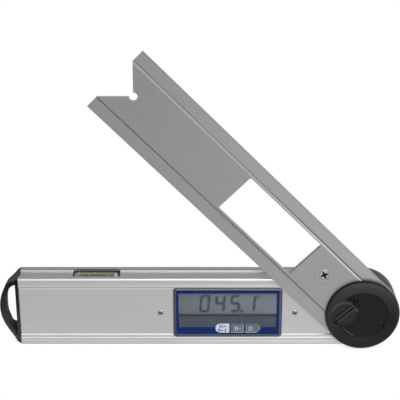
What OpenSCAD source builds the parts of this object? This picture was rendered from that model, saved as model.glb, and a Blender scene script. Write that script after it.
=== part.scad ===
// Digital angle finder with arms: a hollow aluminium base leg with a level vial, a
// display and three buttons, and a flat aluminium arm that turns on a large hub and
// folds over the front of the leg. +Z is up and -Y is the front. The origin is the
// middle of the leg's bottom face. On the front, d is the distance forward of the
// leg's front rails; behind them it is negative.

/* [Base leg] */
// Length of the leg, from its left end to the pivot axis
leg_l = 300; // [270:10:400]
// Height of the leg, and width of the arm that folds over it
leg_h = 65; // [64:1:70]
// Depth of the leg, front to back
leg_d = 25.5; // [25:0.5:32]
// Thickness of the top, bottom and back walls
wall = 2.0; // [1.6:0.1:2.4]
// Thickness of the front wall behind its rails
front_wall = 3.0; // [2.8:0.1:3.6]
// Radius of the leg's long edges
edge_r = 1.8; // [1:0.1:2.2]
// Depth of the flat panel behind the front rails
panel_depth = 1.0; // [1:0.1:1.4]
// Height of the bottom rail below the panel
low_rail_h = 10.4; // [9:0.1:11.5]
// Height of the top rail above the panel
top_rail_h = 9.7; // [8.5:0.1:10.5]
// Width of the channel along the top
channel_w = 12.4; // [10:0.2:14]
// Depth of that channel
channel_depth = 1.5; // [1:0.1:2]
// Width of the front rail beside the channel
channel_edge = 4.2; // [3.6:0.1:4.6]

/* [Arm] */
// Angle that the arm is opened to
open_angle = 45.1; // [0:0.1:225]
// Length of the arm, from the pivot axis to its tip
arm_l = 298.5; // [260:0.5:300]
// Thickness of the bands along the arm's edges
band_t = 2.2; // [1.8:0.1:2.6]
// Width of each band
band_w = 10.6; // [9:0.2:11]
// Height of the raised web above the bands
web_rise = 0.8; // [0.5:0.1:1.2]
// Distance from the pivot axis to the near end of the window
window_start = 73.6; // [72:0.1:76]
// Length of the window
window_l = 86.5; // [84:0.1:90]
// Web left on each side of the window
window_edge = 1.3; // [1:0.1:3]
// Radius of the relief hole at the bottom of the V notch
notch_hole_r = 3.6; // [2.5:0.1:4.5]

/* [Pivot] */
// Width of the arm's ring and its sensor, outside the barrel
ring_w = 5.5; // [5.2:0.1:6]
// Wall of the bush between barrel and arm
bush_wall = 0.93; // [0.8:0.01:1.1]
// Space between the leg's front rails and the arm
arm_gap = 0.6; // [0.6:0.05:0.8]
// Thickness of the round front cover inside its crown
cover_t = 2.1; // [2:0.1:2.6]
// Height of the cover's crown above its sunk face
crown_h = 3.2; // [2.6:0.1:3.6]
// Width of the cover's swelled rim
cover_rim_w = 11.3; // [10.8:0.1:11.8]
// Radius of the lock knob on the back
lock_r = 14; // [12:0.5:18]
// Depth of the lock knob
lock_t = 8.4; // [7.4:0.2:10]

/* [Battery] */
// Distance of the cell above the pivot axis
cell_z = 2.0; // [1:0.1:2.4]
// Thickness of the coin cell
cell_t = 3.2; // [2.5:0.1:3.2]
// How far the coin-slot lid reaches past the cell
lid_edge = 1.0; // [0.9:0.1:1.2]

/* [Display] */
// Width of the display bezel
bezel_w = 95.3; // [88:0.1:100]
// Height of the bezel's lower edge above the leg's bottom
bezel_low = 8.2; // [8:0.1:9]
// Distance from the bezel's upper edge down from the leg's top
bezel_top = 9.1; // [8.8:0.1:9.4]
// Width of the bezel's rim round the clear lens
lens_edge = 2.6; // [2.4:0.1:3]
// Thickness of the clear lens
lens_t = 0.8; // [0.6:0.1:0.8]
// Height of the button area below the display glass
button_area = 18.7; // [18:0.1:19.4]
// Distance from the bezel to each screw beside it
screw_side = 11.3; // [9:0.1:13]
// Height of the row of buttons
button_h = 8.7; // [8.3:0.1:9.1]
// Travel of a button
button_travel = 0.5; // [0.3:0.1:0.5]

/* [Vial] */
// Distance from the leg's left end to the vial's centre
vial_from_end = 67.4; // [60:1:90]
// Length of the vial's frame
vial_l = 41.2; // [38:0.2:44]
// Width of the vial's frame
vial_w = 15.4; // [14:0.2:15.4]
// Height of the vial's frame
vial_h = 11; // [10:0.5:12]

/* [End handle] */
// Thickness of the end plate
end_t = 2.8; // [2.4:0.2:4]
// How far the loop stands out from the leg's end
loop_reach = 18.2; // [16:0.2:22]
// Depth of the loop, front to back
loop_d = 12; // [9:0.5:18]
// Height of the loop's root above its hole
loop_root = 5.9; // [5.5:0.1:8]
// Height of the loop's foot below its hole
loop_foot = 9.3; // [8:0.1:12]

/* [Hidden] */
$fn = 64;
eps = 0.01;      // overlap that lets a cut run cleanly past a face
far = 5;         // how far a through cut runs past its part

// Places on the leg
pivot_x = leg_l / 2;
pivot_z = leg_h / 2;
pivot_r = leg_h / 2;
front_y = -leg_d / 2;
left_x = -leg_l / 2;
hub_start = 12;                          // straight part of the hub left of the axis
body_l = leg_l - hub_start;
channel_end = channel_edge + channel_w;
cavity_top = leg_h - channel_depth - wall;
cavity_h = cavity_top - wall;
cavity_d = leg_d - wall - front_wall;

// Clearances
slip_gap = 0.2;        // between parts that slide together once
tight_gap = 0.02;      // round a pressed part
run_gap = 0.05;        // radial, round a turning part
face_gap = 0.1;        // between faces that slide on each other
lid_gap = 0.3;         // round the battery lid and the buttons

// Levels in front of the rails
arm_back = arm_gap;
band_front = arm_gap + band_t;
web_front = band_front + web_rise;
cover_back = web_front + 0.3;
cover_face = cover_back + cover_t;
cover_crown = cover_face + crown_h;

// Rings round the pivot
barrel_r = pivot_r - ring_w;
arm_bore_r = barrel_r + run_gap + bush_wall + tight_gap;
flange_t = arm_gap - face_gap;
flange_r = arm_bore_r + 1.4;
encoder_in_r = flange_r + 0.3;
encoder_out_r = pivot_r - 0.6;
stator_t = 0.8;
rotor_t = 0.25;
spring_t = 0.2;
spring_wave = 0.18;
spring_in_r = arm_bore_r + 0.8;
spring_out_r = pivot_r - 0.9;
spring_room = 0.6;

// Clamp and cover screws
bolt_r = 2.0;
insert_r = 3.0;
boss_r = 4.3;
boss_l = 3.4;
boss_hole_r = boss_r + slip_gap;
bolt_head_r = 4.04;
bolt_head_t = 2.8;
small_screw_r = 1.1;
small_head_r = 1.9;
small_head_t = 1.2;
hub_skin = 2.5;
hub_screw_l = 5;
cover_screw_l = 8;
module_screw_l = 7;
tongue_l = 14;

// Battery, which fills the barrel between the clamp's boss and the outside
contact_room = 0.9;
boss_wall = 1.2;
barrel_wall = 0.9;
pocket_r = (barrel_r - boss_hole_r - boss_wall - barrel_wall) / 2;
cell_r = pocket_r - slip_gap;
cell_x = boss_hole_r + boss_wall + pocket_r;
lid_r = cell_r + lid_edge;
clip_w = 2.8;
clip_h = 3.2;
cell_front = cover_back - 0.1;
cell_back = cell_front - cell_t;
pocket_floor = cell_back - contact_room;
lid_hole_r = lid_r + lid_gap;
lid_wall_r = lid_hole_r + 2.1;
lid_neck_r = lid_r - 1.1;
lid_flange_t = 1.2;
lid_face = cover_face + 1.6;
seat_front = lid_face + 0.3;
seal_r = 0.45;
tab_r = lid_hole_r + 0.6;
tab_t = 0.6;
tab_w = 5;
lid_turn = 45;                            // turn that frees the lid
lead_spots = [[-5, 0], [0, -pocket_r - 0.2]];

// Cover: its face, and its screws beside the lid's seat and beside the crown
cover_face_r = pivot_r - cover_rim_w;
seat_screw_r = lid_wall_r + small_head_r + 0.8;
face_screw_r = cover_face_r - small_head_r - 0.3;
cover_screw_spots = [
    [-cell_x + seat_screw_r * cos(55), cell_z + seat_screw_r * sin(55)],
    [face_screw_r * cos(27), -face_screw_r * sin(27)]
];

// Display, from the front to the back
disp_from_pivot = window_start + window_l / 2 + 0.75;
disp_x = pivot_x - disp_from_pivot;
bezel_h = leg_h - bezel_low - bezel_top;
disp_z = bezel_low + bezel_h / 2;
lens_w = bezel_w - 2 * lens_edge;
lens_h = bezel_h - 2 * lens_edge;
glass_w = lens_w - 1.4;
glass_h = lens_h - button_area;
screw_reach = bezel_w / 2 + screw_side;
screw_z = disp_z - 0.7;
screw_seat = -panel_depth - 0.5;
bezel_lip = 2.1;
bezel_in_w = bezel_w - 2 * bezel_lip;
bezel_in_h = bezel_h - 2 * bezel_lip;
lens_back = -0.15 - lens_t;
plate_back = -2.0;
bezel_back = -4.4;
glass_z = disp_z + bezel_in_h / 2 - 2.5 - glass_h / 2;
glass_t = 2.0;
view_w = glass_w - 2.4;
view_h = glass_h - 2.2;
board_front = -5.2;
board_t = 1.2;
board_w = bezel_in_w - 0.4;
board_h = bezel_in_h - 0.8;
carrier_front = -7.8;
carrier_t = 1.6;
screw_head_r = 2.4;
screw_head_t = 0.85;
screw_r = 1.5;
board_screw_x = board_w / 2 - 3.2;
board_screw_z = disp_z - board_h / 2 + 3.2;
chip_t = 1.0;
cable_d = board_front - board_t - 0.55;  // level of the leads and the flat cable
plug_end = disp_from_pivot - board_w / 2 + 1;
plug_w = 7;
plug_l = 4;
ribbon_w = 5;
ribbon_z = 8;
ribbon_x = sqrt(pow((encoder_in_r + encoder_out_r) / 2, 2) - ribbon_z * ribbon_z);

// Buttons: left edge from the display's centre, and width
button_z = bezel_low + lens_edge + 5.8;
button_top = 0.1;
button_skirt = 0.6;
button_spots = [[-10.55, 12.0], [2.75, 11.4], [15.45, 13.3]];
row_left = button_spots[0][0];
row_w = button_spots[2][0] + button_spots[2][1] - row_left;
row_x = row_left + row_w / 2;
row_r = button_h / 2;
mat_front = plate_back - button_skirt - button_travel - face_gap;

// Vial
vial_x = left_x + vial_from_end;
vial_top = leg_h - channel_depth;
vial_y = front_y + channel_edge + vial_w / 2;
vial_r = 3.0;
vial_skin = 1.7;
block_l = vial_l - 2 * vial_skin;
block_w = vial_w - 2 * vial_skin;
block_h = vial_h - 1.4;
tube_r = 4.2;
stopper_l = 3;

// Arm screw
web_slope = 1.6;
window_w = 2 * (pivot_r - band_w - web_slope - window_edge);
arm_screw_u = 51;
arm_screw_v = 2;
arm_head_r = 4.6;
arm_head_t = 1.2;
pad_r = 8.4;
sleeve_r = 3.0;

// Colours
aluminium = [0.74, 0.74, 0.75];
bright = [0.85, 0.85, 0.86];
black = [0.13, 0.13, 0.14];
charcoal = [0.20, 0.24, 0.33];
blue = [0.14, 0.21, 0.40];
steel = [0.62, 0.62, 0.64];
brass = [0.80, 0.66, 0.34];
board_green = [0.12, 0.36, 0.22];

// ---- Shapes and frames that repeat ----

// A centred rectangle with round corners
module rounded(w, h, r) {
    square([w - 2 * r, h], center = true);
    square([w, h - 2 * r], center = true);
    for (sx = [-1, 1], sy = [-1, 1])
        translate([sx * (w / 2 - r), sy * (h / 2 - r)]) circle(r);
}

// Children drawn as x to the right, y up and z forward, from a point on the rail plane
module on_front(x, z) {
    translate([x, front_y, z]) rotate([90, 0, 0]) children();
}

// The same at the pivot, and along the arm: the arm's length is -x and its width is y
module on_pivot() on_front(pivot_x, pivot_z) children();
module on_arm() on_pivot() rotate(-open_angle) children();

// The same at the display and at the battery
module on_display(z = disp_z) on_front(disp_x, z) children();
module on_cell() on_pivot() translate([-cell_x, cell_z, 0]) children();

// Children between two levels of d
module layer(back, front) translate([0, 0, back]) linear_extrude(front - back) children();

// A cylinder or a ring between two levels of d
module rod(r, back, front) translate([0, 0, back]) cylinder(r = r, h = front - back);
module ring(inner, outer, back, front) {
    difference() {
        rod(outer, back, front);
        rod(inner, back - far, front + far);
    }
}

// A section across the leg, y back from the front rails and z up, run along X
module along_leg(x, l) {
    translate([x, front_y, 0]) rotate([90, 0, 90]) linear_extrude(l) children();
}

// The leg's outline in that section, with its round long edges
module leg_outline() translate([leg_d / 2, leg_h / 2]) rounded(leg_d, leg_h, edge_r);

// Section of a tongue that fits inside the leg
module tongue_section(inset) {
    translate([front_wall + slip_gap + inset, wall + slip_gap + inset])
        square([cavity_d - 2 * (slip_gap + inset), cavity_h - 2 * (slip_gap + inset)]);
}

// A cross recess for a screwdriver, cut down from a head's top
module cross_recess(size, depth, top) {
    for (a = [0, 90]) rotate(a)
        translate([-size / 2, -size * 0.14, top - depth]) cube([size, size * 0.28, depth + far]);
}

// A screw with a domed head: the head's seat is at z = 0 and the shank runs down
module dome_screw(head_r, head_t, shank_r, shank_l) {
    dome_r = (head_r * head_r + head_t * head_t) / (2 * head_t);
    difference() {
        union() {
            intersection() {
                translate([0, 0, head_t - dome_r]) sphere(dome_r);
                cylinder(r = head_r, h = head_t);
            }
            translate([0, 0, -shank_l]) cylinder(r = shank_r, h = shank_l + eps);
        }
        cross_recess(head_r * 1.25, head_t * 0.6, head_t);
    }
}

// ---- Base leg ----

// Section of the leg: ribbed rails, sunk front panel, channel on top, hollow inside
module leg_section() {
    groove_w = 0.9;
    groove_depth = 0.6;
    difference() {
        leg_outline();
        translate([front_wall, wall]) square([cavity_d, cavity_h]);
        // the panel, with sloped edges
        polygon([
            [-far, low_rail_h - far],
            [0, low_rail_h - panel_depth * 0.5],
            [panel_depth, low_rail_h + panel_depth * 0.5],
            [panel_depth, leg_h - top_rail_h - panel_depth * 0.5],
            [0, leg_h - top_rail_h + panel_depth * 0.5],
            [-far, leg_h - top_rail_h + far]
        ]);
        translate([channel_edge, leg_h - channel_depth]) square([channel_w, far]);
        // ribs of the bottom rail, and one line on the top rail
        for (z = [low_rail_h - 6.7, low_rail_h - 2.7, leg_h - top_rail_h + 3])
            translate([-far, z]) square([far + groove_depth, groove_w]);
    }
}

// The extrusion with everything that is milled into it
module base_extrusion() {
    color(aluminium) difference() {
        along_leg(left_x, body_l) leg_section();
        // round seat for the hub's front plate
        on_pivot() rod(pivot_r + slip_gap - 0.2, -front_wall - far, far);
        // pocket for the bezel, and the opening behind it
        on_display() {
            layer(-panel_depth, far) rounded(bezel_w + slip_gap, bezel_h + slip_gap, 3.3);
            layer(-front_wall - far, far)
                rounded(bezel_in_w + slip_gap, bezel_in_h + slip_gap, 1.2);
        }
        for (s = [-1, 1]) on_front(disp_x + s * screw_reach, screw_z) {
            rod(screw_r + 0.15, -front_wall - far, far);
            rod(screw_head_r + 0.4, screw_seat, far);
        }
        // pocket for the vial
        translate([vial_x, vial_y, cavity_top - far])
            linear_extrude(2 * far + wall + channel_depth)
                rounded(vial_l + slip_gap, vial_w + slip_gap, vial_r + slip_gap / 2);
        // countersunk holes for the hub's screws, from the back
        for (p = hub_screw_spots()) translate([p[0], -front_y, p[1]]) rotate([90, 0, 0]) {
            translate([0, 0, -far]) cylinder(r = small_screw_r + 0.15, h = wall + 2 * far);
            translate([0, 0, -eps])
                cylinder(r1 = small_head_r + 0.2 + eps, r2 = small_screw_r + 0.15,
                         h = small_head_t + eps);
        }
    }
}

// Where the hub's two screws stand on the leg's back: X and Z
function hub_screw_spots() = [
    for (s = [-1, 1]) [pivot_x - hub_start - 8, pivot_z + s * (cavity_h / 2 - 8)]
];

// ---- End plate and hanging loop ----

// Outline of the plate and its loop: an arc below a straight slope from the top corner
module loop_outline() {
    lift = 1.6;
    slope = 0.775;
    reach = loop_reach + far;
    arc_r = (pow(leg_h / 2, 2) + loop_reach * loop_reach) / (2 * loop_reach);
    intersection() {
        translate([arc_r - loop_reach, leg_h / 2 + lift]) circle(arc_r, $fn = 128);
        polygon([[0, -far], [0, leg_h], [-reach, leg_h - slope * reach], [-reach, -far]]);
    }
}

// Outline of the hole: nearly straight on its left, with sloped corners
module loop_hole() {
    left_r = 70;
    bar = 5.2;
    slope = 6.8;
    hole_l = loop_reach - bar - end_t;
    half_h = (leg_h - loop_root - loop_foot) / 2;
    translate([-end_t, loop_foot + half_h]) intersection() {
        translate([-hole_l + left_r, 0]) circle(left_r, $fn = 128);
        polygon([
            [0, -half_h], [-slope, -half_h + slope], [-hole_l, -slope],
            [-hole_l, slope], [-slope, half_h - slope], [0, half_h]
        ]);
    }
}

// Plan of the handle: as deep as the leg at the plate, narrower at the fingers
module handle_plan() {
    grip = loop_d / 2;
    side = [
        [1, leg_d / 2 + 1], [-end_t, leg_d / 2 + 1], [-end_t - 3, grip + 3],
        [-end_t - 6.5, grip + 0.9], [-end_t - 10, grip], [-loop_reach - 1, grip]
    ];
    polygon(concat(side, [for (i = [len(side) - 1 : -1 : 0]) [side[i][0], -side[i][1]]]));
}

module end_handle() {
    tongue_in_l = 10;
    lap = 0.3;
    color(black) union() {
        intersection() {
            along_leg(left_x - loop_reach - 1, loop_reach + 2) leg_outline();
            translate([left_x, leg_d / 2 + 1, 0]) rotate([90, 0, 0])
                linear_extrude(leg_d + 2) difference() {
                    loop_outline();
                    loop_hole();
                }
            translate([left_x, 0, -1]) linear_extrude(leg_h + 2) handle_plan();
        }
        // tongue that presses into the leg
        along_leg(left_x - lap, tongue_in_l + lap) difference() {
            tongue_section(0);
            tongue_section(1.8);
        }
    }
}

// ---- Hub at the right end of the leg ----

// Half section of the hub, radius by d, with a round back edge
module hub_half_section(inset) {
    r = pivot_r - inset;
    back = leg_d - inset;
    translate([0, -back + edge_r]) square([r, back - edge_r - inset]);
    translate([0, -back]) square([r - edge_r, back - inset]);
    translate([r - edge_r, -back + edge_r]) circle(edge_r);
}

// The hub's form: that section swept round the leg's end, then straight
module hub_form(inset, straight) {
    rotate(-90) rotate_extrude(angle = 180) hub_half_section(inset);
    translate([-straight, 0, 0]) rotate([90, 0, 90]) linear_extrude(straight) {
        hub_half_section(inset);
        mirror([1, 0]) hub_half_section(inset);
    }
}

module hub_housing() {
    pilot_r = small_screw_r - 0.15;
    guide_r = bolt_r + 3;
    post_r = 2.6;
    tongue_start = pivot_x - hub_start - tongue_l;
    color(black) difference() {
        union() {
            on_pivot() difference() {
                hub_form(0, hub_start);
                hub_form(hub_skin, hub_start - hub_skin);
            }
            // round front plate, let into the leg's front wall
            on_pivot() intersection() {
                rod(pivot_r - slip_gap, -front_wall, 0);
                translate([-pivot_r, -pivot_r, -front_wall])
                    cube([pivot_r - hub_start + hub_skin / 2, 2 * pivot_r, front_wall]);
            }
            along_leg(tongue_start, tongue_l + hub_skin / 2) tongue_section(0);
            on_pivot() {
                // barrel that the arm turns on, with the battery well in it
                rod(barrel_r, -hub_skin / 2, cover_back - 0.05);
                rod(guide_r, -leg_d + hub_skin / 2, 0);
                for (p = cover_screw_spots) translate(p) rod(post_r, -6, 0);
            }
        }
        // way from inside the leg into the hub
        along_leg(tongue_start - far, tongue_l + hub_skin + far + eps) tongue_section(2);
        on_pivot() {
            ring(encoder_in_r - slip_gap, encoder_out_r + slip_gap, -stator_t - face_gap, far);
            rod(boss_hole_r, cover_back - boss_l - slip_gap, cover_back + far);
            rod(bolt_r + run_gap, -leg_d - far, far);
            for (p = cover_screw_spots) translate(p) rod(pilot_r, -5, cover_back + far);
            translate([-ribbon_x - 0.5, ribbon_z - ribbon_w / 2 - 0.4, -front_wall - far])
                cube([1, ribbon_w + 0.8, front_wall + far - 0.4]);
        }
        on_cell() {
            rod(pocket_r, pocket_floor, cover_back + far);
            // notch for the side contact, and the way out for both leads
            translate([-clip_w / 2 - slip_gap, -pocket_r - 1.2, pocket_floor])
                cube([clip_w + 2 * slip_gap, 3, far]);
            for (p = lead_spots) translate(p) rod(0.8, -far - hub_skin, pocket_floor + eps);
        }
        for (p = hub_screw_spots()) translate([p[0], -front_y, p[1]]) rotate([90, 0, 0])
            cylinder(r = pilot_r, h = wall + slip_gap + 2 + eps);
    }
}

module hub_screws() {
    color(steel) for (p = hub_screw_spots())
        translate([p[0], -front_y, p[1]]) rotate([90, 0, 0]) difference() {
            union() {
                cylinder(r1 = small_head_r, r2 = small_screw_r - 0.2, h = small_head_t);
                cylinder(r = small_screw_r - 0.2, h = hub_screw_l);
            }
            mirror([0, 0, 1]) cross_recess(small_head_r * 1.2, 0.7, 0);
        }
}

// ---- Front cover, battery and clamp ----

// Half section of the cover, radius by d: a round rim that swells to a crown, a slope
// down from it, and a sunk face inside a lip
module cover_section() {
    rim_t = 0.8;
    crown_out = pivot_r - 4.4;
    lip_w = 1.2;
    lip_h = 1.6;
    steps = 10;
    polygon(concat(
        [[0, cover_back], [pivot_r - 0.3, cover_back], [pivot_r, cover_back + 0.3]],
        [for (i = [0 : steps]) let (a = 90 * i / steps) [
            crown_out + (pivot_r - crown_out) * cos(a),
            cover_back + rim_t + (cover_crown - cover_back - rim_t) * sin(a)
        ]],
        [[cover_face_r + lip_w, cover_face + lip_h], [cover_face_r, cover_face], [0, cover_face]]
    ));
}

module pivot_cover() {
    color(black) difference() {
        union() {
            on_pivot() rotate_extrude() cover_section();
            // raised seat round the battery lid
            on_cell() translate([0, 0, cover_back])
                cylinder(r1 = lid_wall_r + 0.6, r2 = lid_wall_r, h = seat_front - cover_back);
            // boss that holds the clamp's insert
            on_pivot() rod(boss_r, cover_back - boss_l, cover_back + eps);
        }
        on_pivot() {
            rod(insert_r + tight_gap, cover_back - boss_l - far, cover_back + 0.3);
            ring(spring_in_r - slip_gap, spring_out_r + slip_gap, -far, cover_back + spring_room);
            for (p = cover_screw_spots) translate(p) {
                rod(small_screw_r + 0.1, -far, cover_crown + far);
                rod(small_head_r + slip_gap, cover_face - small_head_t, cover_crown + far);
            }
        }
        on_cell() {
            rod(lid_hole_r, cover_back - far, cover_crown + far);
            // room for the lid's tabs, and the two slots that let them in
            rod(tab_r + slip_gap, cover_back - far, cover_back + tab_t + 2 * slip_gap);
            rotate(lid_turn) translate([-tab_r - slip_gap, -tab_w / 2 - slip_gap, cover_back - far])
                cube([2 * (tab_r + slip_gap), tab_w + 2 * slip_gap, 4 * far]);
        }
    }
}

module cover_screws() {
    color(steel) on_pivot() for (p = cover_screw_spots)
        translate([p[0], p[1], cover_face - small_head_t])
            dome_screw(small_head_r, small_head_t - 0.1, small_screw_r - 0.2, cover_screw_l);
}

module battery_lid() {
    rim_w = 1.3;
    rib_w = 1.6;
    rib_gap = 1.9;
    rib_l = 2 * (lid_r - rim_w) - 1.2;
    rib_rise = 0.9;
    rib_angle = 43;
    lid_back = cover_back + slip_gap;
    color(black) on_cell() {
        difference() {
            union() {
                rod(lid_r, lid_face - lid_flange_t, lid_face);
                rod(lid_neck_r, lid_back, lid_face);
                for (a = [0, 180]) rotate(a) intersection() {
                    translate([0, -tab_w / 2, lid_back])
                        cube([tab_r, tab_w, tab_t]);
                    rod(tab_r, cover_back, cover_face);
                }
            }
            // dished face inside a rim
            rod(lid_r - rim_w, lid_face - 0.5, lid_face + far);
        }
        // two ribs with the coin slot between them
        rotate(rib_angle) for (s = [-1, 1])
            translate([-rib_l / 2, s * (rib_gap + rib_w) / 2 - rib_w / 2, lid_face - 0.6])
                cube([rib_l, rib_w, rib_rise + 0.6]);
    }
}

module lid_seal() {
    color([0.1, 0.1, 0.1]) on_cell()
        translate([0, 0, lid_face - lid_flange_t - seal_r - 0.05])
            rotate_extrude() translate([lid_neck_r + seal_r + 0.05, 0]) circle(seal_r, $fn = 24);
}

module coin_cell() {
    can_edge = 0.6;
    color(steel) on_cell() union() {
        rod(cell_r, cell_back + can_edge, cell_front);
        rod(cell_r - can_edge, cell_back, cell_back + can_edge + eps);
    }
}

module battery_contacts() {
    leaf_t = 0.2;
    color(brass) on_cell() {
        // leaf under the cell, bent up in its middle
        translate([0, 0, 0]) rotate([90, 0, 0]) translate([0, 0, -2]) linear_extrude(4)
            polygon([
                [-6, pocket_floor + 0.02], [-1, pocket_floor + 0.02],
                [2, cell_back - leaf_t - 0.03], [4, cell_back - leaf_t - 0.03],
                [4, cell_back - 0.03], [1.9, cell_back - 0.03],
                [-1.1, pocket_floor + 0.02 + leaf_t], [-6, pocket_floor + 0.02 + leaf_t]
            ]);
        // clip against the cell's side
        translate([-clip_w / 2, -cell_r - 0.5, pocket_floor + 0.02]) cube([clip_w, 0.4, clip_h]);
    }
}

// Two leads from the battery well to the socket on the board, with round corners
module battery_leads() {
    lead_r = 0.45;
    runs = [-6.9, -8.4];
    color([0.6, 0.1, 0.1]) on_pivot() for (i = [0, 1]) {
        x = lead_spots[i][0] - cell_x;
        z = lead_spots[i][1] + cell_z;
        translate([x, z, cable_d]) cylinder(r = lead_r, h = pocket_floor - cable_d);
        translate([x, z, cable_d]) sphere(lead_r, $fn = 24);
        translate([x, runs[i], cable_d]) rotate([-90, 0, 0])
            cylinder(r = lead_r, h = z - runs[i]);
        translate([x, runs[i], cable_d]) sphere(lead_r, $fn = 24);
        translate([-plug_end, runs[i], cable_d]) rotate([0, 90, 0])
            cylinder(r = lead_r, h = x + plug_end);
    }
}

// Ring of spring steel, waved three times round
module wave_spring() {
    steps = 72;
    mid = (web_front + cover_back + spring_room) / 2;
    function at(i, r, side) = let (a = 360 * i / steps) [
        r * cos(a), r * sin(a), mid + spring_wave * sin(3 * a) + side * spring_t / 2
    ];
    points = [for (i = [0 : steps - 1]) each [
        at(i, spring_in_r, -1), at(i, spring_out_r, -1),
        at(i, spring_out_r, 1), at(i, spring_in_r, 1)
    ]];
    faces = [for (i = [0 : steps - 1], k = [0 : 3])
        let (n = (i + 1) % steps, m = (k + 1) % 4)
        each [[4 * i + k, 4 * n + k, 4 * n + m], [4 * i + k, 4 * n + m, 4 * i + m]]
    ];
    color(steel) on_pivot() polyhedron(points, faces);
}

module encoder_stator() {
    color(board_green) on_pivot()
        ring(encoder_in_r, encoder_out_r, -stator_t - face_gap, -face_gap);
}

module clamp_nut() {
    color(brass) on_pivot() ring(bolt_r + run_gap, insert_r, cover_back - boss_l, cover_back);
}

module lock_knob() {
    back = -leg_d - 0.3 - lock_t;
    front = -leg_d - 0.3;
    scallops = 12;
    edge = 1.5;
    color(black) on_pivot() difference() {
        rotate_extrude() {
            translate([0, back + edge]) square([lock_r, lock_t - edge]);
            translate([0, back]) square([lock_r - edge, edge + eps]);
            translate([lock_r - edge, back + edge]) circle(edge);
        }
        for (i = [0 : scallops - 1]) rotate(360 * i / scallops)
            translate([lock_r + 1.4, 0, 0]) rod(2.4, back - far, front - 1.5);
        // sunk back face, hole and hex seat for the bolt
        rod(lock_r - 4.5, back - far, back + 0.6);
        rod(bolt_r + tight_gap, back - far, front + far);
        translate([0, 0, back - far])
            cylinder(r = bolt_head_r + tight_gap, h = far + 0.6 + bolt_head_t, $fn = 6);
    }
}

module clamp_bolt() {
    head_back = -leg_d - 0.3 - lock_t + 0.6;
    color(steel) on_pivot() difference() {
        union() {
            rod(bolt_r, head_back + bolt_head_t - eps, cover_back - 0.4);
            translate([0, 0, head_back]) cylinder(r = bolt_head_r, h = bolt_head_t, $fn = 6);
        }
        // dimple in the head
        rod(1.6, head_back - far, head_back + 0.4);
    }
}

// ---- Display ----

module display_bezel() {
    color(charcoal) difference() {
        union() {
            on_display() {
                layer(-panel_depth, 0) rounded(bezel_w, bezel_h, 3.2);
                layer(bezel_back, -panel_depth + eps) rounded(bezel_in_w, bezel_in_h, 1.1);
            }
        }
        on_display() layer(lens_back, far) rounded(lens_w + 0.2, lens_h + 0.2, 1.3);
        // opening over the glass, and the glass's seat
        on_display(glass_z) {
            layer(bezel_back - far, far) rounded(view_w, view_h, 0.8);
            layer(bezel_back - far, plate_back) square([glass_w + 0.3, glass_h + 0.3], center = true);
        }
        // opening for the buttons, and the room for their skirts
        on_display(button_z) translate([row_x, 0, 0]) {
            layer(bezel_back - far, far) rounded(row_w + 2 * lid_gap, button_h + 2 * lid_gap,
                                                 row_r + lid_gap - eps);
            layer(bezel_back - far, plate_back)
                square([row_w + 3.4, button_h + 2.4], center = true);
        }
        // pilot holes for the board's screws
        for (s = [-1, 1]) on_front(disp_x + s * board_screw_x, board_screw_z)
            rod(0.85, bezel_back - far, plate_back);
    }
}

module display_lens() {
    color([0.55, 0.62, 0.72, 0.4]) on_display() difference() {
        layer(lens_back, lens_back + lens_t) rounded(lens_w, lens_h, 1.2);
        translate([row_x, button_z - disp_z, 0])
            layer(-far, far) rounded(row_w + 2 * lid_gap, button_h + 2 * lid_gap,
                                     row_r + lid_gap - eps);
    }
}

module lcd_glass() {
    step = 2.4;
    color([0.44, 0.48, 0.48]) on_display(glass_z) union() {
        layer(plate_back - glass_t / 2 - 0.05, plate_back - 0.05)
            translate([0, step / 2]) square([glass_w, glass_h - step], center = true);
        layer(plate_back - glass_t - 0.05, plate_back - glass_t / 2 - 0.05 + eps)
            square([glass_w, glass_h], center = true);
    }
}

module zebra_strip() {
    strip_w = 2;
    color([0.9, 0.55, 0.6]) on_display(glass_z - glass_h / 2 + strip_w)
        layer(board_front + 0.02, plate_back - glass_t - 0.07)
            square([glass_w - 6, strip_w], center = true);
}

module main_board() {
    chip_back = board_front - board_t - chip_t;
    chip_w = 9;
    chip_h = 7;
    small_chip_w = 5;
    color(board_green) difference() {
        union() {
            on_display() {
                layer(board_front - board_t, board_front)
                    square([board_w, board_h], center = true);
                translate([-chip_w * 1.5, 5, chip_back]) cube([chip_w, chip_h, chip_t + eps]);
                translate([small_chip_w * 2, 3, chip_back])
                    cube([small_chip_w, small_chip_w, chip_t + eps]);
            }
            // sockets of the flat cable and of the leads
            on_pivot() for (y = [ribbon_z - plug_w / 2, -11])
                translate([-plug_end - plug_l, y, chip_back]) cube([plug_l, plug_w, chip_t + eps]);
        }
        for (s = [-1, 1]) on_front(disp_x + s * board_screw_x, board_screw_z)
            rod(1.1, -3 * far, far);
    }
}

module board_screws() {
    color(steel) for (s = [-1, 1])
        on_front(disp_x + s * board_screw_x, board_screw_z)
            translate([0, 0, board_front - board_t]) mirror([0, 0, 1])
                dome_screw(1.8, 0.9, 0.8, board_t + 2.6);
}

module key_mat() {
    mat_t = 0.7;
    color([0.3, 0.3, 0.32]) on_display(button_z) {
        translate([row_x, 0, 0]) layer(mat_front - mat_t, mat_front)
            square([row_w + 3, button_h + 2], center = true);
        for (b = button_spots) translate([b[0] + b[1] / 2, 0, 0])
            rod(1.5, board_front + 0.55, mat_front);
    }
}

module dome_switches() {
    color(steel) on_display(button_z) for (b = button_spots)
        translate([b[0] + b[1] / 2, 0, board_front]) cylinder(r1 = 2.6, r2 = 1.6, h = 0.5);
}

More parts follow.
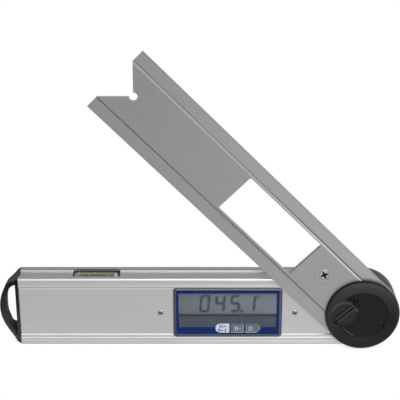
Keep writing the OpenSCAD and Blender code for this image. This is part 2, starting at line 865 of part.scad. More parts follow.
// A button cap with straight sides between two places, round where the row ends
module button(i, tint) {
    x0 = button_spots[i][0];
    w = button_spots[i][1];
    color(tint) on_display(button_z) {
        intersection() {
            translate([row_x, 0, 0]) layer(plate_back - button_skirt, button_top)
                rounded(row_w, button_h, row_r - eps);
            translate([x0, -button_h, plate_back - button_skirt])
                cube([w, 2 * button_h, button_skirt - plate_back + 2]);
        }
        translate([x0 + w / 2, 0, 0]) layer(plate_back - button_skirt, plate_back - 0.05)
            square([w + 0.8, button_h + 1.8], center = true);
    }
}

module button_power() button(0, [0.93, 0.94, 0.95]);
module button_hold() button(1, [0.38, 0.44, 0.52]);
module button_zero() button(2, [0.38, 0.44, 0.52]);

// Inner frame that the front screws pull against the panel
module module_carrier() {
    end_pad = 5;
    post_r = 3.4;
    bar_w = 4;
    color([0.25, 0.25, 0.27]) difference() {
        union() {
            on_display() {
                layer(carrier_front - carrier_t, carrier_front) difference() {
                    rounded(2 * (screw_reach + end_pad), board_h - 4, 3);
                    for (s = [-1, 1]) translate([s * board_w / 4, 0])
                        rounded(board_w / 2 - 2 * bar_w, board_h - 4 - 3 * bar_w, 2);
                }
                // pads under the board
                for (sx = [-1, 1], sy = [-1, 1])
                    translate([sx * (board_w / 2 - 10), sy * (board_h / 2 - 2 - bar_w * 0.8)])
                        rod(1.8, carrier_front - eps, board_front - board_t - 0.02);
            }
            for (s = [-1, 1]) on_front(disp_x + s * screw_reach, screw_z)
                rod(post_r, carrier_front - carrier_t, -front_wall - 0.05);
        }
        for (s = [-1, 1]) on_front(disp_x + s * screw_reach, screw_z)
            rod(screw_r, carrier_front - carrier_t - far, far);
        for (s = [-1, 1]) on_front(disp_x + s * board_screw_x, board_screw_z)
            rod(2.3, carrier_front - carrier_t - far, far);
    }
}

module module_screws() {
    color(steel) for (s = [-1, 1]) on_front(disp_x + s * screw_reach, screw_z)
        translate([0, 0, screw_seat])
            dome_screw(screw_head_r, screw_head_t, screw_r - 0.05, module_screw_l);
}

// Flat cable from the board to the ring sensor in the hub
module signal_ribbon() {
    ribbon_t = 0.3;
    level = cable_d + ribbon_t / 2;
    tip = -stator_t - face_gap - 0.02;
    side = -ribbon_x - ribbon_t / 2;
    color([0.75, 0.55, 0.25]) on_pivot() translate([0, ribbon_z, 0]) rotate([90, 0, 0])
        linear_extrude(ribbon_w, center = true) polygon([
            [-plug_end, level - ribbon_t], [side + ribbon_t, level - ribbon_t],
            [side + ribbon_t, tip], [side, tip], [side, level], [-plug_end, level]
        ]);
}

// ---- Level vial ----

module vial_plan(inset) rounded(vial_l - 2 * inset, vial_w - 2 * inset, vial_r + inset / 4);

module vial_frame() {
    color(black) translate([vial_x, vial_y, vial_top - vial_h]) difference() {
        linear_extrude(vial_h) vial_plan(0);
        translate([0, 0, vial_h - block_h - 0.1]) linear_extrude(block_h + far)
            vial_plan(vial_skin - 0.1);
    }
}

// Clear block with a bore for the fluid, open at its right end for the plug
module vial_block() {
    color([0.72, 0.76, 0.55, 0.5]) translate([vial_x, vial_y, vial_top - block_h]) difference() {
        linear_extrude(block_h - 0.1) vial_plan(vial_skin);
        translate([-block_l / 2 + 2, 0, block_h / 2]) rotate([0, 90, 0])
            cylinder(r = tube_r, h = block_l + far);
    }
}

module vial_plug() {
    color([0.8, 0.8, 0.78]) translate([vial_x + block_l / 2 - stopper_l, vial_y,
                                       vial_top - block_h / 2])
        rotate([0, 90, 0]) cylinder(r = tube_r - tight_gap, h = stopper_l - 0.4);
}

// ---- Arm ----

// Section across the arm, width by d: thin bands, a fine groove and the raised web
module arm_section() {
    half = pivot_r;
    foot = half - band_w;
    groove = 0.4;
    edge = 0.3;
    right = [
        [half, arm_back], [half, band_front - edge], [half - edge, band_front],
        [foot + groove, band_front], [foot, band_front - groove],
        [foot - web_slope, web_front]
    ];
    polygon(concat(right, [for (i = [len(right) - 1 : -1 : 0]) [-right[i][0], right[i][1]]]));
}

// The arm seen from the front: round at the pivot, with a right-angled notch at its tip
module arm_outline() {
    mouth = pivot_r - band_w - 1.1;
    difference() {
        union() {
            circle(pivot_r, $fn = 128);
            translate([-arm_l, -pivot_r]) square([arm_l, 2 * pivot_r]);
        }
        circle(arm_bore_r, $fn = 128);
        translate([-window_start - window_l / 2, 0]) rounded(window_l, window_w, 1.6);
        polygon([
            [-arm_l - far, mouth + far], [-arm_l + mouth, 0], [-arm_l - far, -mouth - far]
        ]);
        translate([-arm_l + mouth, 0]) circle(notch_hole_r);
        translate([-arm_screw_u, arm_screw_v]) circle(sleeve_r + tight_gap);
    }
}

module arm() {
    seat = web_front - arm_head_t;
    color(aluminium) on_arm() difference() {
        intersection() {
            layer(0, web_front + far) arm_outline();
            translate([-arm_l - far, 0, 0]) rotate([90, 0, 90])
                linear_extrude(arm_l + far + pivot_r + far) arm_section();
        }
        translate([-arm_screw_u, arm_screw_v, 0]) rod(arm_head_r + 0.15, seat, web_front + far);
    }
}

// Bush with a thrust flange behind the arm
module pivot_bush() {
    bore = barrel_r + run_gap;
    color([0.85, 0.84, 0.8]) on_arm() difference() {
        union() {
            rod(bore + bush_wall, face_gap, web_front);
            rod(flange_r, face_gap, arm_back);
        }
        rod(bore, -far, web_front + far);
    }
}

module encoder_rotor() {
    color([0.75, 0.5, 0.2]) on_arm()
        ring(encoder_in_r, encoder_out_r, arm_back - rotor_t, arm_back);
}

// Large-headed screw in the arm, and the low-friction pad that it holds behind it
module arm_screw() {
    seat = web_front - arm_head_t;
    color(bright) on_arm() translate([-arm_screw_u, arm_screw_v, seat]) rotate(20)
        difference() {
            union() {
                cylinder(r = arm_head_r, h = arm_head_t - 0.2);
                translate([0, 0, arm_head_t - 0.2 - eps])
                    cylinder(r1 = arm_head_r, r2 = arm_head_r - 0.4, h = 0.3);
                translate([0, 0, -seat + arm_back - 0.2]) cylinder(r = screw_r, h = seat);
            }
            cross_recess(6, 0.8, arm_head_t + 0.1);
        }
}

module glide_pad() {
    color([0.9, 0.9, 0.88]) on_arm() translate([-arm_screw_u, arm_screw_v, 0]) difference() {
        union() {
            rod(pad_r, face_gap + 0.05, arm_back);
            rod(sleeve_r, arm_back - eps, web_front - arm_head_t - tight_gap);
        }
        rod(screw_r + tight_gap, -far, web_front + far);
    }
}

base_extrusion();
end_handle();
hub_housing();
hub_screws();
pivot_cover();
cover_screws();
coin_cell();
battery_contacts();
battery_leads();
wave_spring();
encoder_stator();
clamp_nut();
display_bezel();
display_lens();
lcd_glass();
zebra_strip();
main_board();
board_screws();
key_mat();
dome_switches();
module_carrier();
module_screws();
signal_ribbon();
vial_frame();
vial_block();
vial_plug();
arm();
pivot_bush();
encoder_rotor();
arm_screw();
glide_pad();
battery_lid();
lid_seal();
lock_knob();
clamp_bolt();
button_power();
button_hold();
button_zero();
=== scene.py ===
import math

import bmesh
import bpy
from mathutils import Matrix, Vector


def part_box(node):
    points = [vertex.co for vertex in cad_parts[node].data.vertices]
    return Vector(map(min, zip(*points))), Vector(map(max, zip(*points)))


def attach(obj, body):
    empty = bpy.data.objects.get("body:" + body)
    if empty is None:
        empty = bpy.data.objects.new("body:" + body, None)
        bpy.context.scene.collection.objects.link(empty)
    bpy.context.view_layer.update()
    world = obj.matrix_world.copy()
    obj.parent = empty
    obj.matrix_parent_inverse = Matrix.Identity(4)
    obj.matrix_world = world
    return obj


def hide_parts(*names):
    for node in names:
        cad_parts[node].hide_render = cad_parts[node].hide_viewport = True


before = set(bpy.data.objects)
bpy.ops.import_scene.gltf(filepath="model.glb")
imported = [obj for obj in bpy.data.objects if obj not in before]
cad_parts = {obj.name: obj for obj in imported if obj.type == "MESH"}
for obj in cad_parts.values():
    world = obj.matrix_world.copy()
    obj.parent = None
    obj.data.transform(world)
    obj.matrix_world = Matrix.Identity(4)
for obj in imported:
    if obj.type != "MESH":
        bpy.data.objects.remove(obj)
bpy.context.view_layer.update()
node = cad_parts


# ---- Camera ----
# The photograph looks down on the front of the standing tool with a long lens,
# from just right of the middle of its leg.
camera_data = bpy.data.cameras.new("camera")
camera_data.lens = 100.8
camera_data.sensor_width = 36.0
camera_data.clip_start = 0.05
camera_data.clip_end = 30.0
camera = bpy.data.objects.new("camera", camera_data)
camera.location = (0.00815, -0.8914, 0.4825)
camera.rotation_euler = (math.radians(68.6), 0.0, 0.0)
bpy.context.scene.collection.objects.link(camera)
bpy.context.scene.camera = camera


# ---- Floor and lamps ----
# A white floor that runs out of sight and keeps a faint shadow of the tool, in a white
# surround. One broad soft lamp stands before the tool, a weaker one hangs above it.
def bare_material(name):
    made = bpy.data.materials.new(name)
    made.use_nodes = True
    made.node_tree.nodes.clear()
    out = made.node_tree.nodes.new("ShaderNodeOutputMaterial")
    out.location = (600, 0)
    return made, made.node_tree, out


def link(tree, source, target):
    tree.links.new(source, target)


def finished_piece(name, bm, materials):
    mesh = bpy.data.meshes.new(name)
    bm.to_mesh(mesh)
    bm.free()
    piece = bpy.data.objects.new(name, mesh)
    bpy.context.scene.collection.objects.link(piece)
    for entry in materials:
        mesh.materials.append(entry)
    return piece


def math_node(tree, operation, a, b=None, c=None):
    step = tree.nodes.new("ShaderNodeMath")
    step.operation = operation
    for i, value in enumerate((a, b, c)):
        if value is None:
            continue
        if isinstance(value, (int, float)):
            step.inputs[i].default_value = value
        else:
            link(tree, value, step.inputs[i])
    return step.outputs[0]


def limited(tree, value, low, high):
    return math_node(tree, "MINIMUM", math_node(tree, "MAXIMUM", value, low), high)


def coordinates(tree):
    place = tree.nodes.new("ShaderNodeTexCoord")
    split = tree.nodes.new("ShaderNodeSeparateXYZ")
    link(tree, place.outputs["Object"], split.inputs[0])
    return place.outputs["Object"], split.outputs[0], split.outputs[1], split.outputs[2]


def emission(tree, strength):
    glow = tree.nodes.new("ShaderNodeEmission")
    glow.inputs["Strength"].default_value = strength
    return glow.outputs[0]


def mix_shader(tree, factor, a, b):
    mix = tree.nodes.new("ShaderNodeMixShader")
    link(tree, factor, mix.inputs["Fac"])
    link(tree, a, mix.inputs[1])
    link(tree, b, mix.inputs[2])
    return mix.outputs[0]


# The camera sees the matt floor lifted to white, and gloss and glass see plain white
floor_mat, tree, out = bare_material("white_floor")
matt = tree.nodes.new("ShaderNodeBsdfDiffuse")
matt.inputs["Color"].default_value = (0.95, 0.95, 0.95, 1)
lit = tree.nodes.new("ShaderNodeAddShader")
link(tree, matt.outputs[0], lit.inputs[0])
link(tree, emission(tree, 0.58), lit.inputs[1])
path = tree.nodes.new("ShaderNodeLightPath")
camera_ray = path.outputs["Is Camera Ray"]
floor_look = mix_shader(tree, camera_ray, matt.outputs[0], lit.outputs[0])
gloss_or_through = math_node(tree, "MAXIMUM", path.outputs["Is Glossy Ray"],
                             path.outputs["Is Transmission Ray"])
not_camera = math_node(tree, "SUBTRACT", 1.0, camera_ray)
floor_look = mix_shader(tree, math_node(tree, "MULTIPLY", gloss_or_through, not_camera),
                        floor_look, emission(tree, 0.95))

# The arm swings below the floor's level when it opens past the straight line. Lamplight
# passes the floor everywhere. The camera's sight passes it from below, and from above
# outside the part that holds the tool's shadow.
x, y, z = coordinates(tree)[1:]
tool_middle_x = 0.007
beside = math_node(tree, "ABSOLUTE", math_node(tree, "SUBTRACT", x, tool_middle_x))
shadow_part = 1.0
for to_edge, soft_edge in ((math_node(tree, "SUBTRACT", 0.205, beside), 0.03),
                           (math_node(tree, "ADD", y, 0.055), 0.03),
                           (math_node(tree, "SUBTRACT", 0.060, y), 0.04)):
    fade = limited(tree, math_node(tree, "DIVIDE", to_edge, soft_edge), 0.0, 1.0)
    shadow_part = math_node(tree, "MULTIPLY", fade, shadow_part)
side = tree.nodes.new("ShaderNodeNewGeometry")
from_below = side.outputs["Backfacing"]
floor_look = mix_shader(tree, from_below, floor_look, emission(tree, 0.6))
opening = math_node(tree, "MAXIMUM", math_node(tree, "SUBTRACT", 1.0, shadow_part), from_below)
opening = math_node(tree, "MULTIPLY", opening, camera_ray)
opening = math_node(tree, "MAXIMUM", opening, path.outputs["Is Shadow Ray"])
clear = tree.nodes.new("ShaderNodeBsdfTransparent")
link(tree, mix_shader(tree, opening, floor_look, clear.outputs[0]), out.inputs["Surface"])
bm = bmesh.new()
bmesh.ops.create_grid(bm, x_segments=1, y_segments=1, size=6.0)
just_below = -0.0002
bmesh.ops.translate(bm, verts=bm.verts, vec=(0, 0, just_below))
floor = finished_piece("floor", bm, [floor_mat])

world = bpy.data.worlds.new("surround")
bpy.context.scene.world = world
world.use_nodes = True
tree = world.node_tree
tree.nodes.clear()
out = tree.nodes.new("ShaderNodeOutputWorld")
dim = tree.nodes.new("ShaderNodeBackground")
dim.inputs["Color"].default_value = (1.0, 1.0, 1.0, 1)
dim.inputs["Strength"].default_value = 0.45
white = tree.nodes.new("ShaderNodeBackground")
white.inputs["Color"].default_value = (1, 1, 1, 1)
white.inputs["Strength"].default_value = 1.0
path = tree.nodes.new("ShaderNodeLightPath")
seen = math_node(tree, "MAXIMUM", path.outputs["Is Camera Ray"], path.outputs["Is Glossy Ray"])
seen = math_node(tree, "MAXIMUM", seen, path.outputs["Is Transmission Ray"])
link(tree, mix_shader(tree, seen, dim.outputs[0], white.outputs[0]), out.inputs["Surface"])


def lamp(name, place, aim, width, height, watts):
    data = bpy.data.lights.new(name, "AREA")
    data.shape = "RECTANGLE"
    data.size = width
    data.size_y = height
    data.energy = watts
    made = bpy.data.objects.new(name, data)
    made.location = place
    made.rotation_euler = (Vector(aim) - Vector(place)).to_track_quat("-Z", "Y").to_euler()
    bpy.context.scene.collection.objects.link(made)


lamp("front_lamp", place=(0.7, -1.9, 1.0), aim=(0, 0, 0.08), width=1.4, height=1.0, watts=20)
lamp("top_lamp", place=(0, -0.5, 1.5), aim=(0, 0, 0), width=1.8, height=0.4, watts=7)
bpy.context.scene.view_settings.view_transform = "Standard"


# ---- Aluminium leg ----
# A hollow extrusion, sawn to length and milled for the display, the vial and the
# hub, then fine matt anodised. Its drawing lines run along it.
def new_group(name, inputs, outputs):
    group = bpy.data.node_groups.new(name, "ShaderNodeTree")
    for title, kind, value in inputs:
        socket = group.interface.new_socket(title, in_out="INPUT", socket_type=kind)
        if value is not None:
            socket.default_value = value
    for title, kind in outputs:
        group.interface.new_socket(title, in_out="OUTPUT", socket_type=kind)
    return group, group.nodes.new("NodeGroupInput"), group.nodes.new("NodeGroupOutput")


def colour_mix(tree, factor, a, b):
    mix = tree.nodes.new("ShaderNodeMix")
    mix.data_type = "RGBA"
    for socket, value in ((mix.inputs[0], factor), (mix.inputs[6], a), (mix.inputs[7], b)):
        if isinstance(value, (int, float)):
            socket.default_value = value
        elif isinstance(value, tuple):
            socket.default_value = (*value, 1) if len(value) == 3 else value
        else:
            link(tree, value, socket)
    return mix.outputs[2]


def shaded(tree, colour, factor):
    scale = tree.nodes.new("ShaderNodeVectorMath")
    scale.operation = "SCALE"
    link(tree, colour, scale.inputs[0])
    link(tree, factor, scale.inputs["Scale"])
    return scale.outputs[0]


def between(tree, value, low, high):
    return math_node(tree, "COMPARE", value, (low + high) / 2, (high - low) / 2)


def over(tree, value, limit):
    return math_node(tree, "GREATER_THAN", value, limit)


def under(tree, value, limit):
    return math_node(tree, "LESS_THAN", value, limit)


def all_of(tree, *masks):
    joined = masks[0]
    for mask in masks[1:]:
        joined = math_node(tree, "MULTIPLY", joined, mask)
    return joined


def toned(tree, tone, *steps):
    for mask, amount in steps:
        tone = math_node(tree, "MULTIPLY_ADD", mask, amount, tone)
    return tone


def noise(tree, vector, scale, detail):
    cloud = tree.nodes.new("ShaderNodeTexNoise")
    cloud.inputs["Scale"].default_value = scale
    cloud.inputs["Detail"].default_value = detail
    link(tree, vector, cloud.inputs["Vector"])
    return cloud.outputs["Fac"]


# Drawing lines, a fine matt grain and faint handling marks; the lines run along X
drawn_metal, g_in, g_out = new_group(
    "drawn_metal",
    [("Vector", "NodeSocketVector", None), ("Light", "NodeSocketColor", (0.6, 0.6, 0.6, 1)),
     ("Dark", "NodeSocketColor", (0.5, 0.5, 0.5, 1)), ("Roughness", "NodeSocketFloat", 0.4),
     ("Lines", "NodeSocketFloat", 1.0)],
    [("Color", "NodeSocketColor"), ("Roughness", "NodeSocketFloat"),
     ("Height", "NodeSocketFloat")])
stretch = drawn_metal.nodes.new("ShaderNodeMapping")
stretch.inputs["Scale"].default_value = (6, 900, 900)
link(drawn_metal, g_in.outputs["Vector"], stretch.inputs["Vector"])
lines = noise(drawn_metal, stretch.outputs["Vector"], 1.0, 3.0)
grain = noise(drawn_metal, g_in.outputs["Vector"], 2600.0, 2.0)
patches = noise(drawn_metal, g_in.outputs["Vector"], 18.0, 4.0)
line_part = math_node(drawn_metal, "MULTIPLY", lines, g_in.outputs["Lines"])
marks = toned(drawn_metal, line_part, (grain, 0.45))
tone = math_node(drawn_metal, "SUBTRACT", toned(drawn_metal, marks, (patches, 0.30)), 0.37)
link(drawn_metal, colour_mix(drawn_metal, tone, g_in.outputs["Dark"], g_in.outputs["Light"]),
     g_out.inputs["Color"])
rough = toned(drawn_metal, g_in.outputs["Roughness"], (marks, 0.12), (patches, 0.08))
link(drawn_metal, math_node(drawn_metal, "SUBTRACT", rough, 0.12), g_out.inputs["Roughness"])
link(drawn_metal, marks, g_out.inputs["Height"])


def relieved(tree, surface, height, out, strength, depth):
    relief = tree.nodes.new("ShaderNodeBump")
    relief.inputs["Strength"].default_value = strength
    relief.inputs["Distance"].default_value = depth
    link(tree, height, relief.inputs["Height"])
    link(tree, relief.outputs["Normal"], surface.inputs["Normal"])
    link(tree, surface.outputs["BSDF"], out.inputs["Surface"])


def metal_material(name, light, dark, roughness, metallic, run=None, zones=None, drawn=1.0):
    made, tree, out = bare_material(name)
    vector, x, y, z = coordinates(tree)
    metal = tree.nodes.new("ShaderNodeGroup")
    metal.node_tree = drawn_metal
    link(tree, run(tree, x, y, z) if run else vector, metal.inputs["Vector"])
    metal.inputs["Light"].default_value = (*light, 1)
    metal.inputs["Dark"].default_value = (*dark, 1)
    metal.inputs["Roughness"].default_value = roughness
    metal.inputs["Lines"].default_value = drawn
    surface = tree.nodes.new("ShaderNodeBsdfPrincipled")
    surface.inputs["Metallic"].default_value = metallic
    colour = metal.outputs["Color"]
    if zones:
        colour = shaded(tree, colour, zones(tree, x, y, z))
    link(tree, colour, surface.inputs["Base Color"])
    link(tree, metal.outputs["Roughness"], surface.inputs["Roughness"])
    relieved(tree, surface, metal.outputs["Height"], out, strength=0.5, depth=0.00001)
    return made


def dress(name, material):
    mesh = node[name].data
    if mesh.materials:
        for i in range(len(mesh.materials)):
            mesh.materials[i] = material
    else:
        mesh.materials.append(material)


# A copy of a piece with its edges broken, as moulding and finishing leave them. Its
# flat faces stay flat, and only the narrow ones of a round are shaded as one.
narrow = 0.0022


def softened(name, body, materials, radius, second=None):
    sharp_bend = math.radians(32)
    bm = bmesh.new()
    bm.from_mesh(node[name].data)
    bmesh.ops.remove_doubles(bm, verts=bm.verts, dist=0.000002)
    bmesh.ops.dissolve_limit(bm, angle_limit=math.radians(0.6), verts=bm.verts, edges=bm.edges)
    if second:
        for face in bm.faces:
            if second(face.calc_center_median()):
                face.material_index = 1
    for face in bm.faces:
        bends = [e.calc_face_angle(0) for e in face.edges]
        width = face.calc_area() / max(e.calc_length() for e in face.edges)
        face.smooth = width < narrow and any(0.01 < bend < sharp_bend for bend in bends)
    sharp = [e for e in bm.edges if e.calc_face_angle(0) > sharp_bend]
    rounds = bmesh.ops.bevel(bm, geom=sharp, offset=radius, segments=2, profile=0.5,
                             affect="EDGES", clamp_overlap=True, material=-1)
    for face in rounds["faces"]:
        face.smooth = True
    piece = finished_piece(name + "_soft", bm, materials)
    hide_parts(name)
    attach(piece, body)
    return piece


def front_middle(name):
    low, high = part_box(name)
    return (low[0] + high[0]) / 2, (low[2] + high[2]) / 2


# Painted light and shade: the channel and the back rail on top are painted darker than the
# front, as shade. Each groove is painted as a bright lower lip under a dark line, and the
# lips of the sunk panel are painted bright, as highlights. The front is painted a little
# brighter towards its foot and towards the hub, as light falling there.
leg_middle_z = front_middle("base_extrusion")[1]
front_edge_y = -0.0123
rail_foot_y = 0.0036
rail_top_y = 0.0042
rail_back_y = 0.0130
channel_z = 0.0630
rail_face_z = 0.0634
rail_top_z = 0.0640
painted_lip_lines = ((0.0081, 0.0092, -0.10), (0.0069, 0.0080, 0.62), (0.0055, 0.0066, -0.02),
               (0.0038, 0.0049, 0.55), (0.0025, 0.0036, -0.05), (0.0001, 0.0007, -0.12),
               (0.0558, 0.0568, -0.14), (0.0574, 0.0590, 0.26), (0.0544, 0.0557, 0.66))


def leg_painted_light(tree, x, y, z):
    channel = all_of(tree, between(tree, y, front_edge_y, rail_foot_y), over(tree, z, channel_z))
    rail_top = all_of(tree, between(tree, y, rail_top_y, rail_back_y), over(tree, z, rail_top_z))
    rail_face = all_of(tree, between(tree, y, rail_foot_y, rail_top_y), over(tree, z, rail_face_z))
    front_edge = all_of(tree, under(tree, y, front_edge_y), over(tree, z, channel_z))
    below_middle = math_node(tree, "SUBTRACT", leg_middle_z, z)
    low_rail = under(tree, z, 0.0036)
    # Painted shade on the top, painted highlights on the front edge and rail face, painted light
    # towards the foot and hub
    tone = toned(tree, 1.03, (channel, -0.42), (rail_top, -0.50), (rail_face, 0.75),
                 (front_edge, 0.65), (x, 0.22), (below_middle, 1.3), (low_rail, 0.10))
    # Painted highlights and painted shade on the lips of the grooves and the sunk panel
    lip_light = toned(tree, 0.0, *((between(tree, z, low, high), amount)
                              for low, high, amount in painted_lip_lines))
    return math_node(tree, "MULTIPLY_ADD", lip_light, under(tree, y, -0.0113), tone)


leg_metal = metal_material("leg_aluminium", (0.55, 0.542, 0.548), (0.46, 0.455, 0.46), 0.42, 0.75,
                           zones=leg_painted_light, drawn=0.55)
softened("base_extrusion", "base", [leg_metal], 0.00022)


# ---- End handle ----
# One moulding of black nylon: an end plate with a hanging loop, pressed into the leg
# by a tongue. Fine spark-eroded grain all over.
moulded_grain, g_in, g_out = new_group(
    "moulded_grain",
    [("Vector", "NodeSocketVector", None), ("Light", "NodeSocketColor", (0.05, 0.05, 0.05, 1)),
     ("Dark", "NodeSocketColor", (0.03, 0.03, 0.03, 1)), ("Roughness", "NodeSocketFloat", 0.5),
     ("Scale", "NodeSocketFloat", 2500.0)],
    [("Color", "NodeSocketColor"), ("Roughness", "NodeSocketFloat"),
     ("Height", "NodeSocketFloat")])
pits = moulded_grain.nodes.new("ShaderNodeTexVoronoi")
link(moulded_grain, g_in.outputs["Vector"], pits.inputs["Vector"])
link(moulded_grain, g_in.outputs["Scale"], pits.inputs["Scale"])
soft = noise(moulded_grain, g_in.outputs["Vector"], 90.0, 5.0)
link(moulded_grain, colour_mix(moulded_grain, soft, g_in.outputs["Dark"], g_in.outputs["Light"]),
     g_out.inputs["Color"])
rough = toned(moulded_grain, g_in.outputs["Roughness"], (soft, 0.16))
link(moulded_grain, math_node(moulded_grain, "SUBTRACT", rough, 0.08), g_out.inputs["Roughness"])
link(moulded_grain, pits.outputs["Distance"], g_out.inputs["Height"])


def plastic_material(name, light, dark, roughness, gloss=0.5, zones=None, grain_scale=2500.0,
                     relief_depth=0.00002):
    made, tree, out = bare_material(name)
    vector, x, y, z = coordinates(tree)
    plastic = tree.nodes.new("ShaderNodeGroup")
    plastic.node_tree = moulded_grain
    link(tree, vector, plastic.inputs["Vector"])
    plastic.inputs["Light"].default_value = (*light, 1)
    plastic.inputs["Dark"].default_value = (*dark, 1)
    plastic.inputs["Roughness"].default_value = roughness
    plastic.inputs["Scale"].default_value = grain_scale
    surface = tree.nodes.new("ShaderNodeBsdfPrincipled")
    surface.inputs["IOR"].default_value = 1.5
    surface.inputs["Specular IOR Level"].default_value = gloss
    colour = plastic.outputs["Color"]
    if zones:
        colour = zones(tree, colour, x, y, z)
    link(tree, colour, surface.inputs["Base Color"])
    link(tree, plastic.outputs["Roughness"], surface.inputs["Roughness"])
    relieved(tree, surface, plastic.outputs["Height"], out, strength=0.35, depth=relief_depth)
    return made


# Painted light: the handle is painted darker towards its top
def handle_painted_light(tree, colour, x, y, z):
    return shaded(tree, colour, limited(tree, math_node(tree, "MULTIPLY_ADD", z, -38.0, 2.55),
                                        0.25, 1.9))


black_nylon = plastic_material("black_nylon", (0.028, 0.028, 0.028), (0.018, 0.018, 0.018), 0.50,
                               gloss=0.05, zones=handle_painted_light)
softened("end_handle", "base", [black_nylon], 0.0009)


# ---- Hub ----
# Glass-filled nylon moulding round the end of the leg, dark grey, with a painted reflection
# that makes it paler towards its foot. It carries the barrel that the arm turns on.
# Painted reflection: the hub is painted paler towards its foot
def hub_painted_reflection(tree, colour, x, y, z):
    return shaded(tree, colour, limited(tree, math_node(tree, "MULTIPLY_ADD", z, -26.0, 1.95),
                                        0.35, 1.6))


hub_nylon = plastic_material("hub_nylon", (0.085, 0.080, 0.080), (0.060, 0.057, 0.057), 0.50,
                             gloss=0.2, zones=hub_painted_reflection)
softened("hub_housing", "base", [hub_nylon], 0.0004)


# ---- Front cover and battery lid ----
# Round black cover with a swelled rim, and the coin-slot lid of the cell in it. Both
# are moulded in ABS with a satin face.
pivot = front_middle("pivot_cover")
cover_face_r = 0.0222
cover_edge_r = 0.0318
lid_middle = (0.1340, 0.0345)
lid_rim_r = 0.0096
rib_angle = 43


# How far a place lies from a middle, and how far from it along a line at an angle
def distance_to(tree, x, z, middle):
    squares = []
    for value, start in ((x, middle[0]), (z, middle[1])):
        offset = math_node(tree, "SUBTRACT", value, start)
        squares.append(math_node(tree, "MULTIPLY", offset, offset))
    return math_node(tree, "SQRT", math_node(tree, "ADD", *squares))


def way_along(tree, x, z, middle, angle):
    from_x = math_node(tree, "SUBTRACT", x, middle[0])
    from_z = math_node(tree, "SUBTRACT", z, middle[1])
    return toned(tree, 0.0, (from_x, math.cos(math.radians(angle))),
                 (from_z, math.sin(math.radians(angle))))


# Painted light: the rim is painted paler at its top and left as a highlight, and dark at its
# very edge as shade. A painted highlight arc runs over the lid's seat, and a painted
# highlight crescent lies at the lower left of the face.
def cover_painted_light(tree, colour, x, y, z):
    distance = distance_to(tree, x, z, pivot)
    height = math_node(tree, "SUBTRACT", z, pivot[1])
    upper = math_node(tree, "MULTIPLY_ADD", math_node(tree, "MAXIMUM", height, 0.0), 100.0, 0.20)
    left = math_node(tree, "MULTIPLY", math_node(tree, "SUBTRACT", pivot[0], x), 60.0)
    left = toned(tree, left, (math_node(tree, "MINIMUM", height, 0.0), 40.0))
    lit_rim = math_node(tree, "MULTIPLY", over(tree, distance, cover_face_r),
                    math_node(tree, "MAXIMUM", upper, left))
    lit_crescent = all_of(tree, between(tree, distance, 0.0197, 0.0213),
                      between(tree, x, 0.1330, 0.1434), under(tree, z, 0.0245))
    lit_seat_arc = all_of(tree, between(tree, distance_to(tree, x, z, lid_middle), 0.0114, 0.0122),
                      over(tree, z, 0.0370))
    tone = toned(tree, 1.0, (lit_rim, 1.0), (lit_crescent, 4.0), (lit_seat_arc, 5.0))
    painted_edge_shade = toned(tree, 1.0, (over(tree, distance, cover_edge_r), -0.8))
    return shaded(tree, colour, math_node(tree, "MULTIPLY", tone, painted_edge_shade))


# Painted light: rib tops painted pale as highlights, the slot between them painted dark as shade,
# and a painted highlight on the upper rim
def lid_painted_light(tree, colour, x, y, z):
    across = way_along(tree, x, z, lid_middle, rib_angle + 90)
    lit_rib_tops = under(tree, y, -0.0208)
    slot_shade = between(tree, across, -0.00095, 0.00095)
    lit_rim = all_of(tree, over(tree, distance_to(tree, x, z, lid_middle), lid_rim_r),
                 over(tree, z, 0.0365))
    return shaded(tree, colour, toned(tree, 1.3, (lit_rib_tops, 1.9), (slot_shade, -0.5), (lit_rim, 3.0)))


cover_plastic = plastic_material("cover_plastic", (0.0118, 0.0106, 0.0120),
                                 (0.0088, 0.0079, 0.0090), 0.42, gloss=0.12, zones=cover_painted_light)
lid_plastic = plastic_material("lid_plastic", (0.013, 0.0125, 0.013), (0.008, 0.0075, 0.008), 0.36,
                               gloss=0.24, zones=lid_painted_light)
softened("pivot_cover", "base", [cover_plastic], 0.00025)
softened("battery_lid", "battery_lid", [lid_plastic], 0.00025)
seal_rubber = plastic_material("seal_rubber", (0.02, 0.02, 0.02), (0.01, 0.01, 0.01), 0.6)
dress("lid_seal", seal_rubber)


# ---- Screws and other steel pieces ----
# Plated cross-head screws, the clamp bolt and the springs: turned or pressed steel.
# The cross of the arm screw is painted dark as shade, with a painted highlight at its middle.
screw_middle = front_middle("arm_screw")
screw_twist = 40.9
cross_angle = 24
cross_half = 0.0009


# Painted shade in the cross of the screw, a painted highlight at its middle, and a darker rim
def screw_painted_light(tree, x, y, z):
    from_middle = distance_to(tree, x, z, screw_middle)
    one_way = way_along(tree, x, z, screw_middle, cross_angle)
    other_way = way_along(tree, x, z, screw_middle, cross_angle + 90)
    cross = math_node(tree, "MAXIMUM", between(tree, one_way, -cross_half, cross_half),
                      between(tree, other_way, -cross_half, cross_half))
    cross_shade = all_of(tree, cross, between(tree, from_middle, 0.0013, 0.0035))
    return toned(tree, 1.0, (cross_shade, -0.45), (under(tree, from_middle, 0.0012), 1.0),
                 (over(tree, from_middle, 0.0040), -0.25))


# The copy of the arm screw is turned about its own axis, to the cross in the photograph
arm_screw_steel = metal_material("arm_screw_steel", (0.50, 0.49, 0.46), (0.40, 0.39, 0.365), 0.30,
                                 0.9, zones=screw_painted_light, drawn=0.3)
screw_copy = softened("arm_screw", "arm", [arm_screw_steel], 0.00015)
screw_axis = Matrix.Translation((screw_middle[0], 0, screw_middle[1]))
screw_turn = Matrix.Rotation(math.radians(screw_twist), 4, "Y")
screw_copy.data.transform(screw_axis @ screw_turn @ screw_axis.inverted())

